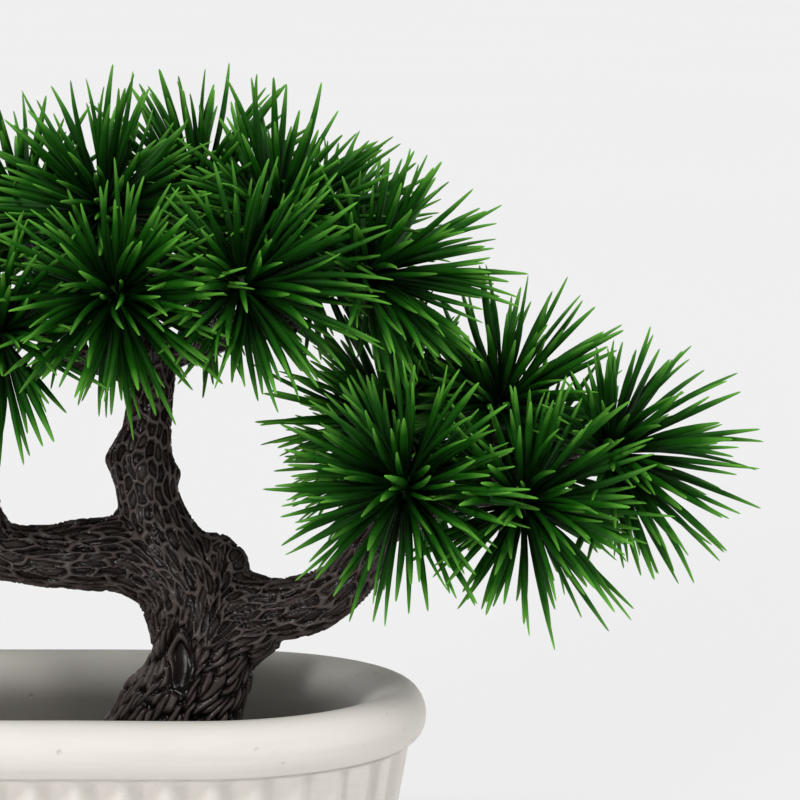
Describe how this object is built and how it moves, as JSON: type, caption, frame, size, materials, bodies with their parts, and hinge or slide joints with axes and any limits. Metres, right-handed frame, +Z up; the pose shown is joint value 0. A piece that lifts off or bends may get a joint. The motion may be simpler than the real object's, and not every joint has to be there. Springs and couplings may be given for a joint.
{
  "type": "artificial tabletop tree",
  "caption": "Artificial bonsai pine for a table: moulded trunk with spreading limbs, swivelling push-fit needle heads, in an oval fluted ceramic planter.",
  "frame": {"origin": "centre of the planter's flat base, on the surface it stands on", "axes": "+Z up, +X along the planter's long side towards the low right-hand foliage, +Y to the back"},
  "size_m": [0.3284, 0.16, 0.262],
  "materials": {
    "planter": "matt off-white stoneware with tiny pits",
    "liner": "black moulded plastic",
    "cement": "cast grey cement",
    "gravel": "bonded dark pea gravel",
    "steel": "plain drawn rod",
    "bark": "satin dark brown moulded bark relief",
    "twig": "satin dark brown",
    "needles": "satin green moulded needles"
  },
  "bodies": {
    "planter_body": {"planter": "planter"},
    "tree": {"liner_tub": "liner", "cement_ballast": "cement", "gravel_dressing": "gravel", "core_rod": "steel", "trunk": "bark", "crown_left_bough": "bark", "crown_right_bough": "bark", "right_bough": "bark", "left_bough": "bark", "twig_crown_top_front": "twig", "twig_crown_left": "twig", "twig_right_front": "twig", "twig_crown_front_left": "twig", "twig_crown_low_left": "twig", "twig_crown_top_left": "twig", "twig_crown_back_left": "twig", "twig_crown_front_right": "twig", "twig_crown_top_back": "twig", "twig_crown_top_right": "twig", "twig_crown_right": "twig", "twig_crown_back_right": "twig", "twig_crown_back": "twig", "twig_right_low": "twig", "twig_right_top": "twig", "twig_right_tip": "twig", "twig_right_top_left": "twig", "twig_right_back": "twig", "twig_right_back_left": "twig", "twig_left_front": "twig", "twig_left_tip": "twig", "twig_left_top": "twig", "twig_left_back": "twig"},
    "head_crown_top_front": {"needles_crown_top_front": "needles"},
    "head_crown_left": {"needles_crown_left": "needles"},
    "head_right_front": {"needles_right_front": "needles"},
    "head_crown_front_left": {"needles_crown_front_left": "needles"},
    "head_crown_low_left": {"needles_crown_low_left": "needles"},
    "head_crown_top_left": {"needles_crown_top_left": "needles"},
    "head_crown_back_left": {"needles_crown_back_left": "needles"},
    "head_crown_front_right": {"needles_crown_front_right": "needles"},
    "head_crown_top_back": {"needles_crown_top_back": "needles"},
    "head_crown_top_right": {"needles_crown_top_right": "needles"},
    "head_crown_right": {"needles_crown_right": "needles"},
    "head_crown_back_right": {"needles_crown_back_right": "needles"},
    "head_crown_back": {"needles_crown_back": "needles"},
    "head_right_low": {"needles_right_low": "needles"},
    "head_right_top": {"needles_right_top": "needles"},
    "head_right_tip": {"needles_right_tip": "needles"},
    "head_right_top_left": {"needles_right_top_left": "needles"},
    "head_right_back": {"needles_right_back": "needles"},
    "head_right_back_left": {"needles_right_back_left": "needles"},
    "head_left_front": {"needles_left_front": "needles"},
    "head_left_tip": {"needles_left_tip": "needles"},
    "head_left_top": {"needles_left_top": "needles"},
    "head_left_back": {"needles_left_back": "needles"}
  },
  "joints": [
    {"name": "tree_lift", "type": "slide", "parent": "planter_body", "child": "tree", "axis": [0, 0, 1], "range_m": [0, 0.12]},
    {"name": "swivel_crown_top_front", "type": "hinge", "parent": "tree", "child": "head_crown_top_front", "pos_m": [0.018, -0.012, 0.221], "axis": [-0.1506, -0.4015, 0.9034], "continuous": true},
    {"name": "swivel_crown_left", "type": "hinge", "parent": "tree", "child": "head_crown_left", "pos_m": [-0.036, -0.004, 0.2], "axis": [-0.8619, 0, 0.507], "continuous": true},
    {"name": "swivel_right_front", "type": "hinge", "parent": "tree", "child": "head_right_front", "pos_m": [0.1, -0.038, 0.149], "axis": [-0.1532, -0.9395, 0.3064], "continuous": true},
    {"name": "swivel_crown_front_left", "type": "hinge", "parent": "tree", "child": "head_crown_front_left", "pos_m": [0.023, -0.042, 0.201], "axis": [-0.1025, -0.9734, 0.2049], "continuous": true},
    {"name": "swivel_crown_low_left", "type": "hinge", "parent": "tree", "child": "head_crown_low_left", "pos_m": [-0.009, -0.034, 0.19], "axis": [-0.6213, -0.7767, 0.1036], "continuous": true},
    {"name": "swivel_crown_top_left", "type": "hinge", "parent": "tree", "child": "head_crown_top_left", "pos_m": [-0.006, 0.01, 0.217], "axis": [-0.4623, 0.1541, 0.8732], "continuous": true},
    {"name": "swivel_crown_back_left", "type": "hinge", "parent": "tree", "child": "head_crown_back_left", "pos_m": [0.01, 0.036, 0.202], "axis": [-0.3058, 0.9174, 0.2548], "continuous": true},
    {"name": "swivel_crown_front_right", "type": "hinge", "parent": "tree", "child": "head_crown_front_right", "pos_m": [0.056, -0.036, 0.203], "axis": [0.6775, -0.6476, 0.3487], "continuous": true},
    {"name": "swivel_crown_top_back", "type": "hinge", "parent": "tree", "child": "head_crown_top_back", "pos_m": [0.042, 0.012, 0.222], "axis": [0, 0.1961, 0.9806], "continuous": true},
    {"name": "swivel_crown_top_right", "type": "hinge", "parent": "tree", "child": "head_crown_top_right", "pos_m": [0.064, -0.008, 0.218], "axis": [0.4115, -0.2572, 0.8744], "continuous": true},
    {"name": "swivel_crown_right", "type": "hinge", "parent": "tree", "child": "head_crown_right", "pos_m": [0.089, -0.013, 0.204], "axis": [0.9254, -0.1493, 0.3483], "continuous": true},
    {"name": "swivel_crown_back_right", "type": "hinge", "parent": "tree", "child": "head_crown_back_right", "pos_m": [0.074, 0.028, 0.206], "axis": [0.5535, 0.7547, 0.3522], "continuous": true},
    {"name": "swivel_crown_back", "type": "hinge", "parent": "tree", "child": "head_crown_back", "pos_m": [0.043, 0.04, 0.202], "axis": [0.0508, 0.9658, 0.2542], "continuous": true},
    {"name": "swivel_right_low", "type": "hinge", "parent": "tree", "child": "head_right_low", "pos_m": [0.132, -0.026, 0.143], "axis": [0.4116, -0.9055, 0.1029], "continuous": true},
    {"name": "swivel_right_top", "type": "hinge", "parent": "tree", "child": "head_right_top", "pos_m": [0.126, 0.004, 0.166], "axis": [0.0499, 0.0499, 0.9975], "continuous": true},
    {"name": "swivel_right_tip", "type": "hinge", "parent": "tree", "child": "head_right_tip", "pos_m": [0.156, -0.004, 0.154], "axis": [0.9782, -0.0504, 0.2017], "continuous": true},
    {"name": "swivel_right_top_left", "type": "hinge", "parent": "tree", "child": "head_right_top_left", "pos_m": [0.096, 0.01, 0.161], "axis": [-0.5123, 0.2562, 0.8197], "continuous": true},
    {"name": "swivel_right_back", "type": "hinge", "parent": "tree", "child": "head_right_back", "pos_m": [0.134, 0.03, 0.146], "axis": [0.453, 0.8858, 0.1007], "continuous": true},
    {"name": "swivel_right_back_left", "type": "hinge", "parent": "tree", "child": "head_right_back_left", "pos_m": [0.101, 0.036, 0.147], "axis": [-0.2507, 0.9628, 0.1003], "continuous": true},
    {"name": "swivel_left_front", "type": "hinge", "parent": "tree", "child": "head_left_front", "pos_m": [-0.062, -0.024, 0.15], "axis": [0.0999, -0.9488, 0.2996], "continuous": true},
    {"name": "swivel_left_tip", "type": "hinge", "parent": "tree", "child": "head_left_tip", "pos_m": [-0.096, -0.006, 0.15], "axis": [-0.9584, -0.2018, 0.2018], "continuous": true},
    {"name": "swivel_left_top", "type": "hinge", "parent": "tree", "child": "head_left_top", "pos_m": [-0.074, 0.008, 0.164], "axis": [-0.2009, 0.1005, 0.9744], "continuous": true},
    {"name": "swivel_left_back", "type": "hinge", "parent": "tree", "child": "head_left_back", "pos_m": [-0.066, 0.034, 0.148], "axis": [0, 0.9794, 0.2019], "continuous": true}
  ]
}
